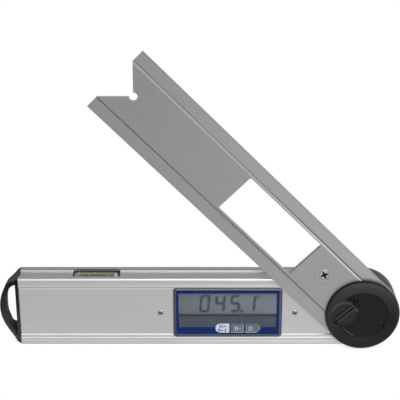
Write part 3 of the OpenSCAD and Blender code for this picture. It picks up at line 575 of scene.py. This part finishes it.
screw_steel = metal_material("screw_steel", (0.50, 0.49, 0.48), (0.36, 0.35, 0.34), 0.30, 1.0,
                             drawn=0.3)

# The two heads beside the display have a dark ring of painted shade round a bright middle.
# They lie at one distance from the line between them, so one mask serves both.
heads_low, heads_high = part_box("module_screws")
heads_middle_x, heads_z = front_middle("module_screws")
head_r = (heads_high[2] - heads_low[2]) / 2
head_place = (heads_high[0] - heads_middle_x - head_r, heads_z)


def head_shade_ring(tree, x, y, z):
    side = math_node(tree, "ABSOLUTE", math_node(tree, "SUBTRACT", x, heads_middle_x))
    from_middle = distance_to(tree, side, z, head_place)
    return toned(tree, 1.0, (between(tree, from_middle, 0.0006, 0.0016), -0.80))


module_steel = metal_material("module_steel", (0.45, 0.45, 0.45), (0.34, 0.34, 0.34), 0.35, 1.0,
                              zones=head_shade_ring, drawn=0.3)
# The cover screws are painted nearly black, as painted shade of the holes they sit in
cover_screw_shade = metal_material("cover_screw_shade", (0.012, 0.012, 0.012), (0.008, 0.008, 0.008), 0.5, 0.2,
                            drawn=0.3)
for name in ("hub_screws", "board_screws", "clamp_bolt"):
    dress(name, screw_steel)
dress("module_screws", module_steel)
dress("cover_screws", cover_screw_shade)
spring_steel = metal_material("spring_steel", (0.45, 0.45, 0.46), (0.32, 0.32, 0.33), 0.28, 1.0)
for name in ("wave_spring", "dome_switches", "coin_cell"):
    dress(name, spring_steel)


# ---- Display ----
# The bezel is a satin blue-grey moulding let into the leg. Its plate, under the clear
# lens, is printed: dark blue round the glass and along the foot, grey between them. A dark
# line on it along the foot of the display glass is painted shadow.
field_x = (-0.0104, 0.0752)
field_z = (0.0174, 0.0296)
pale_line_z = (0.0174, 0.0190)
shadow_line_x = (-0.0108, 0.0756)
shadow_line_z = (0.0280, 0.0296)
bezel_face_x = (-0.0146, 0.0794)
bezel_face_z = (0.0089, 0.0552)


def plate_zones(tree, colour, x, y, z):
    field = between(tree, x, *field_x)
    grey_field = all_of(tree, field, between(tree, z, *field_z))
    # Painted shadow: a dark line along the foot of the display glass
    shadow_line = all_of(tree, between(tree, x, *shadow_line_x), between(tree, z, *shadow_line_z))
    pale_line = all_of(tree, field, between(tree, z, *pale_line_z))
    print_colour = colour_mix(tree, grey_field, (0.006, 0.054, 0.335), (0.220, 0.255, 0.302))
    print_colour = colour_mix(tree, pale_line, print_colour, (0.16, 0.25, 0.36))
    print_colour = colour_mix(tree, shadow_line, print_colour, (0.040, 0.046, 0.060))
    return colour_mix(tree, 0.12, print_colour, colour)


# Painted light: the bezel's face is painted paler along its top as a highlight and darker at its
# left, and its sides are painted dark as shade
def bezel_painted_light(tree, colour, x, y, z):
    face = all_of(tree, between(tree, x, *bezel_face_x), between(tree, z, *bezel_face_z))
    tint = colour_mix(tree, over(tree, z, 0.0540), colour, (0.210, 0.205, 0.270))
    tint = colour_mix(tree, under(tree, x, -0.0125), tint, (0.040, 0.052, 0.080))
    return colour_mix(tree, face, (0.030, 0.034, 0.042), tint)


def on_plate(place):
    return place.y > -0.0121 and -0.0128 < place.x < 0.0776 and 0.0106 < place.z < 0.0535


bezel_blue = plastic_material("bezel_blue", (0.072, 0.086, 0.128), (0.056, 0.068, 0.104), 0.34,
                              gloss=0.35, zones=bezel_painted_light)
print_and_shadow_plate = plastic_material("print_and_shadow_plate", (0.075, 0.085, 0.125), (0.060, 0.070, 0.105),
                                 0.5, gloss=0.05, zones=plate_zones)
softened("display_bezel", "base", [bezel_blue, print_and_shadow_plate], 0.0003,
         second=on_plate)


# Clear plastic or fluid, which lets lamplight through as plain tinted light
def clear_material(name, colour, roughness, ior, gloss, shade):
    made, tree, out = bare_material(name)
    glass = tree.nodes.new("ShaderNodeBsdfPrincipled")
    glass.inputs["Base Color"].default_value = (*colour, 1)
    glass.inputs["Roughness"].default_value = roughness
    glass.inputs["IOR"].default_value = ior
    glass.inputs["Specular IOR Level"].default_value = gloss
    glass.inputs["Transmission Weight"].default_value = 1.0
    clear = tree.nodes.new("ShaderNodeBsdfTransparent")
    clear.inputs["Color"].default_value = (*shade, 1)
    path = tree.nodes.new("ShaderNodeLightPath")
    link(tree, mix_shader(tree, path.outputs["Is Shadow Ray"], glass.outputs["BSDF"],
                          clear.outputs["BSDF"]), out.inputs["Surface"])
    return made


dress("display_lens", clear_material("lens_clear", (0.93, 0.96, 1.0), 0.03, 1.2, 0.5, (1, 1, 1)))


# The display glass is green-grey on the left and purple-grey on the right, with painted
# shade towards its top, a painted shadow line along its foot and two faint olive marks at its left
def lcd_zones(tree, colour, x, y, z):
    along = math_node(tree, "MULTIPLY_ADD", x, 11.0, 0.15)
    tint = colour_mix(tree, along, (0.078, 0.095, 0.092), (0.133, 0.136, 0.146))
    # Painted shade towards the top of the display glass, and a painted shadow line along its foot
    top = math_node(tree, "MULTIPLY_ADD", z, 180.0, -180.0 * 0.0455)
    tint = colour_mix(tree, limited(tree, top, 0.0, 0.75), tint, (0.055, 0.062, 0.110))
    tint = colour_mix(tree, under(tree, z, 0.0302), tint, (0.035, 0.040, 0.048))
    upper_mark = all_of(tree, between(tree, x, -0.0090, -0.0062), between(tree, z, 0.0450, 0.0472))
    lower_mark = all_of(tree, between(tree, x, -0.0094, -0.0070), between(tree, z, 0.0312, 0.0332))
    marks = math_node(tree, "MAXIMUM", upper_mark, lower_mark)
    tint = colour_mix(tree, math_node(tree, "MULTIPLY", marks, 0.85), tint, (0.060, 0.062, 0.030))
    return colour_mix(tree, 0.25, tint, colour)


lcd_grey = plastic_material("lcd_grey", (0.15, 0.16, 0.17), (0.12, 0.13, 0.14), 0.35, gloss=0.1,
                            zones=lcd_zones, grain_scale=6000.0, relief_depth=0.000005)
dress("lcd_glass", lcd_grey)

# Seven-segment figures on the display glass, leaning a little to the right, each with
# its soft shadow on the reflector behind
segment_ink = plastic_material("segment_ink", (0.042, 0.049, 0.061), (0.036, 0.042, 0.053), 0.5,
                               gloss=0.05, grain_scale=6000.0, relief_depth=0.000001)
segment_shade = plastic_material("segment_shade", (0.070, 0.078, 0.085), (0.060, 0.068, 0.075),
                                 0.5, gloss=0.05, grain_scale=6000.0, relief_depth=0.000001)
glass_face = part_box("lcd_glass")[0][1]
figures_low = 0.0317
figures_high = 0.0487
figures_lean = 0.075
figure_w = 0.0090
film = 0.00001
bars = {"a": (0, 1, "h"), "b": (1, 0.75, "v"), "c": (1, 0.25, "v"), "d": (0, 0, "h"),
        "e": (-1, 0.25, "v"), "f": (-1, 0.75, "v"), "g": (0, 0.5, "h")}
shapes = {"0": "abcdef", "4": "bcfg", "5": "acdfg", "1": "bc"}
figures = ((0.0126, "0"), (0.0260, "4"), (0.0393, "5"), (0.0526, "1"))
point_x = 0.0456
degree_mark = ((0.0592, 0.0012, 0.0015, 0.0006), (0.0592, 0.0030, 0.0015, 0.0006),
               (0.0581, 0.0021, 0.0005, 0.0014), (0.0603, 0.0021, 0.0005, 0.0014))
tall = figures_high - figures_low


def add_bar(bm, x, z, width, height, cut):
    bar = bmesh.ops.create_grid(bm, x_segments=1, y_segments=1, size=0.5)["verts"]
    bmesh.ops.scale(bm, vec=(width, height, 1), verts=bar)
    turn = Matrix.Translation((x, 0, z)) @ Matrix.Rotation(math.radians(90), 4, "X")
    bmesh.ops.transform(bm, matrix=turn, verts=bar)
    if cut:
        bmesh.ops.bevel(bm, geom=bar, offset=cut, segments=1, profile=0.5, affect="VERTICES",
                        material=-1)


def added_piece(name, bm, material, body):
    piece = finished_piece(name, bm, [material])
    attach(piece, body)


def printed_piece(name, bm, ink, body):
    bmesh.ops.solidify(bm, geom=bm.faces[:], thickness=film)
    bmesh.ops.recalc_face_normals(bm, faces=bm.faces)
    added_piece(name, bm, ink, body)


def figure_plate(name, stroke, shift, ahead, ink):
    bm = bmesh.new()
    cut = stroke * 0.42
    for centre, figure in figures:
        for key in shapes[figure]:
            side, up, way = bars[key]
            x = centre + side * (figure_w - stroke) / 2
            z = figures_low + stroke / 2 + up * (tall - stroke)
            if way == "h":
                add_bar(bm, x, z, figure_w - stroke - 0.0003, stroke, cut)
            else:
                add_bar(bm, x, z, stroke, tall / 2 - stroke * 0.6 - 0.0003, cut)
    add_bar(bm, point_x, figures_low + stroke * 0.55, stroke * 1.15, stroke * 1.1, stroke * 0.3)
    for x, down, width, height in degree_mark:
        add_bar(bm, x, figures_high - down, width, height, 0)
    lean = Matrix.Identity(4)
    lean[0][2] = figures_lean
    lean[0][3] = -figures_lean * (figures_low + tall / 2)
    move = Matrix.Translation((shift[0], glass_face - ahead, shift[1]))
    bmesh.ops.transform(bm, matrix=move @ lean, verts=bm.verts)
    printed_piece(name, bm, ink, "base")


figure_plate("display_figures", 0.0021, (0, 0), 0.00008, segment_ink)
figure_plate("figure_shadow", 0.0022, (-0.0007, -0.0006), 0.00003, segment_shade)


# ---- Buttons ----
# Three caps in one row: white for power, two in grey-blue. Each slides in its slot
# over the silicone mat, and wears a plain printed sign.
power_cap = plastic_material("power_cap", (0.62, 0.68, 0.73), (0.55, 0.61, 0.66), 0.38, gloss=0.2)


# Painted highlights: a pale line along the right end and the foot of each grey cap
def cap_edge_highlights(tree, colour, x, y, z):
    right_edge = math_node(tree, "MAXIMUM", between(tree, x, 0.0459, 0.0466),
                           between(tree, x, 0.0605, 0.0612))
    edge = math_node(tree, "MAXIMUM", right_edge, under(tree, z, 0.0131))
    return colour_mix(tree, edge, colour, (0.30, 0.36, 0.44))


grey_cap = plastic_material("grey_cap", (0.125, 0.145, 0.180), (0.105, 0.125, 0.155), 0.38,
                            gloss=0.3, zones=cap_edge_highlights)
softened("button_power", "button_power", [power_cap], 0.0004)
softened("button_hold", "button_hold", [grey_cap], 0.0004)
softened("button_zero", "button_zero", [grey_cap], 0.0004)

blue_ink = plastic_material("blue_ink", (0.06, 0.10, 0.30), (0.05, 0.08, 0.25), 0.5, gloss=0.2)
pale_ink = plastic_material("pale_ink", (0.55, 0.62, 0.70), (0.48, 0.55, 0.63), 0.5, gloss=0.2)
cap_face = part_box("button_power")[0][1]
print_ahead = 0.00002


def sign(name, body, ink, bars_of_sign):
    bm = bmesh.new()
    for x, z, width, height in bars_of_sign:
        add_bar(bm, x, z, width, height, 0)
    bmesh.ops.translate(bm, verts=bm.verts, vec=(0, cap_face - print_ahead, 0))
    printed_piece(name, bm, ink, body)


sign("power_sign", "button_power", blue_ink,
     [(0.0257, 0.0185, 0.0009, 0.0034), (0.0275, 0.0185, 0.0009, 0.0034),
      (0.0298, 0.0185, 0.0026, 0.0009), (0.0249, 0.0146, 0.0012, 0.0033),
      (0.0274, 0.0146, 0.0028, 0.0010), (0.0305, 0.0146, 0.0010, 0.0033)])
sign("hold_sign", "button_hold", pale_ink,
     [(0.0393, 0.0166, 0.0009, 0.0036), (0.0411, 0.0166, 0.0009, 0.0036),
      (0.0435, 0.0166, 0.0016, 0.0008)])
sign("zero_sign", "button_zero", pale_ink,
     [(0.0527, 0.0182, 0.0030, 0.0006), (0.0527, 0.0150, 0.0030, 0.0006),
      (0.0515, 0.0166, 0.0007, 0.0036), (0.0539, 0.0166, 0.0007, 0.0036)])


# ---- Level vial ----
# A clear acrylic block in a black frame, bored for pale yellow-green spirit with a
# bubble between two lines. The well of the frame is painted a pale green-grey with
# rounded ends, and is dark olive along the top of its rear wall.
vial_low, vial_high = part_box("vial_block")
vial_middle_x = (vial_low[0] + vial_high[0]) / 2
tube_x = -0.0831
tube_y = (vial_low[1] + vial_high[1]) / 2
tube_z = 0.0587
tube_r = 0.00415
well_half = 0.0140
well_r = 0.0063
well_top = 0.0632
strip_low = 0.0613


def vial_zones(tree, colour, x, y, z):
    from_middle = math_node(tree, "ABSOLUTE", math_node(tree, "SUBTRACT", x, vial_middle_x))
    past_end = math_node(tree, "MAXIMUM", math_node(tree, "SUBTRACT", from_middle, well_half), 0.0)
    low = under(tree, z, well_top)
    rear_wall = all_of(tree, over(tree, y, 0.0040), under(tree, y, 0.0058), low)
    corner = math_node(tree, "SUBTRACT", from_middle, 0.0172)
    middle = under(tree, corner, math_node(tree, "SUBTRACT", strip_low, z))
    floor_part = under(tree, distance_to(tree, past_end, y, (0.0, tube_y)), well_r)
    pale_wall = math_node(tree, "MULTIPLY", rear_wall, middle)
    well = math_node(tree, "MULTIPLY", math_node(tree, "MAXIMUM", pale_wall, floor_part), low)
    colour = colour_mix(tree, well, colour, (0.36, 0.35, 0.295))
    strip = all_of(tree, rear_wall, over(tree, z, strip_low), between(tree, x, -0.0980, -0.0670))
    return colour_mix(tree, strip, colour, (0.070, 0.074, 0.036))


vial_black = plastic_material("vial_black", (0.018, 0.015, 0.012), (0.012, 0.010, 0.008), 0.45,
                              gloss=0.15, zones=vial_zones)
softened("vial_frame", "base", [vial_black], 0.0003)


def vial_clear(name, colour, roughness, ior):
    return clear_material(name, colour, roughness, ior, 0.2, colour)


dress("vial_block", vial_clear("acrylic", (0.93, 0.94, 0.88), 0.05, 1.15))
bm = bmesh.new()
bmesh.ops.create_cone(bm, cap_ends=True, segments=48, radius1=tube_r, radius2=tube_r,
                      depth=0.0320)
turn = Matrix.Translation((tube_x, tube_y, tube_z)) @ Matrix.Rotation(math.radians(90), 4, "Y")
bmesh.ops.transform(bm, matrix=turn, verts=bm.verts)
added_piece("vial_spirit", bm, vial_clear("spirit", (0.90, 0.92, 0.76), 0.02, 0.97), "base")

bm = bmesh.new()
bmesh.ops.create_uvsphere(bm, u_segments=32, v_segments=16, radius=1.0)
bmesh.ops.scale(bm, vec=(0.0064, 0.0026, 0.0014), verts=bm.verts)
bmesh.ops.translate(bm, verts=bm.verts, vec=(tube_x - 0.0001, tube_y, tube_z + 0.0025))
added_piece("vial_bubble", bm, vial_clear("bubble_clear", (0.86, 0.86, 0.80), 0.02, 0.93), "base")

# Each line is a thin ring in the tube, made at X 0 and then moved to its place
line_ink = plastic_material("line_ink", (0.02, 0.02, 0.02), (0.015, 0.015, 0.015), 0.5)
line_r = 0.00395
line_half = 0.00018
bm = bmesh.new()
for x in (-0.0909, -0.0755):
    start = bmesh.ops.create_circle(bm, cap_ends=False, segments=8, radius=line_half)["verts"]
    bmesh.ops.translate(bm, verts=start, vec=(0, line_r, 0))
    loop = list({e for v in start for e in v.link_edges})
    bmesh.ops.spin(bm, geom=start + loop, cent=(0, 0, 0), axis=(1, 0, 0), angle=math.tau,
                   steps=32, use_merge=True, use_duplicate=False)
    ring = list({v for f in bm.faces for v in f.verts if v.co.x > -0.01})
    bmesh.ops.translate(bm, verts=ring, vec=(x, tube_y, tube_z))
bmesh.ops.remove_doubles(bm, verts=bm.verts, dist=0.000002)
bmesh.ops.recalc_face_normals(bm, faces=bm.faces)
added_piece("vial_lines", bm, line_ink, "base")


# ---- Arm ----
# A flat extrusion with thin bands and a raised web, sawn, milled and anodised like the
# leg, but a shade darker. Its drawing lines run along the arm.
arm_opening = 45.1


def arm_axes(tree, x, z):
    along = way_along(tree, x, z, pivot, 180 - arm_opening)
    return along, way_along(tree, x, z, pivot, 90 - arm_opening)


def arm_run(tree, x, y, z):
    along, across = arm_axes(tree, x, z)
    joined = tree.nodes.new("ShaderNodeCombineXYZ")
    for i, value in enumerate((along, y, across)):
        link(tree, value, joined.inputs[i])
    return joined.outputs[0]


# Painted light: the arm is painted brighter towards the pivot, and its right band most of
# all, up to an outer edge painted dark as shade. The right shoulder of the web is a
# painted highlight beside a painted shade line, the left shoulder is painted dark as shade.
# Two faint rings lie round the screw, and the sawn lower end of the window is painted dark as
# shade.
screw_place = (0.0510, 0.0020)


def arm_painted_light(tree, x, y, z):
    along, across = arm_axes(tree, x, z)
    right_band = over(tree, across, 0.0223)
    near = math_node(tree, "MULTIPLY_ADD", along, -0.4, 0.20)
    close = limited(tree, math_node(tree, "MULTIPLY_ADD", along, -9.0, 1.55), 0.18, 1.0)
    shoulder_light_and_shade = toned(tree, 0.0, (between(tree, across, 0.0196, 0.0211), 0.85),
                     (between(tree, across, 0.0211, 0.0224), -0.62))
    from_screw = distance_to(tree, along, across, screw_place)
    shaded_window_end = all_of(tree, between(tree, along, 0.0730, 0.0737),
                        between(tree, across, -0.0190, 0.0185))
    # Painted highlights and painted shade on the bands, shoulders, outer edge and window end
    return toned(tree, math_node(tree, "MULTIPLY_ADD", along, -1.1, 1.30), (right_band, near),
                 (under(tree, across, -0.0217), 0.02), (over(tree, across, 0.0318), -0.35),
                 (shoulder_light_and_shade, close), (between(tree, across, -0.0220, -0.0205), -0.30),
                 (between(tree, from_screw, 0.0082, 0.0089), -0.16),
                 (between(tree, from_screw, 0.0048, 0.0056), 0.22), (shaded_window_end, -0.65))


arm_metal = metal_material("arm_aluminium", (0.335, 0.322, 0.328), (0.255, 0.246, 0.250), 0.42,
                           0.75, run=arm_run, zones=arm_painted_light, drawn=0.3)
softened("arm", "arm", [arm_metal], 0.0002)
pad_nylon = plastic_material("pad_nylon", (0.70, 0.69, 0.65), (0.62, 0.61, 0.57), 0.5)
for name in ("pivot_bush", "glide_pad"):
    dress(name, pad_nylon)
dress("vial_plug", vial_black)


# ---- Lock knob ----
# Black moulded knob on the back of the hub, with scallops for the fingers. It turns
# the bolt that clamps the arm.
softened("lock_knob", "lock_knob", [black_nylon], 0.0005)


# ---- Pieces inside ----
# The board, its cable and leads, the contacts and the carrier that holds them, each
# in the plain colour of its stuff.
board_green = plastic_material("board_green", (0.02, 0.13, 0.06), (0.015, 0.10, 0.045), 0.4)
copper = metal_material("copper", (0.55, 0.30, 0.14), (0.42, 0.22, 0.10), 0.35, 1.0)
brass = metal_material("brass", (0.70, 0.52, 0.22), (0.58, 0.42, 0.17), 0.30, 1.0)
mat_silicone = plastic_material("mat_silicone", (0.12, 0.12, 0.13), (0.09, 0.09, 0.10), 0.6)
pink_rubber = plastic_material("pink_rubber", (0.60, 0.30, 0.33), (0.50, 0.24, 0.27), 0.6)
amber_film = plastic_material("amber_film", (0.40, 0.22, 0.05), (0.32, 0.17, 0.04), 0.3)
red_lead = plastic_material("red_lead", (0.40, 0.02, 0.02), (0.30, 0.015, 0.015), 0.4)
inner_grey = plastic_material("inner_grey", (0.06, 0.06, 0.065), (0.04, 0.04, 0.045), 0.5)
for name, material in (("main_board", board_green), ("encoder_stator", board_green),
                       ("encoder_rotor", copper), ("clamp_nut", brass), ("battery_contacts", brass),
                       ("key_mat", mat_silicone), ("zebra_strip", pink_rubber),
                       ("signal_ribbon", amber_film), ("battery_leads", red_lead),
                       ("module_carrier", inner_grey)):
    dress(name, material)
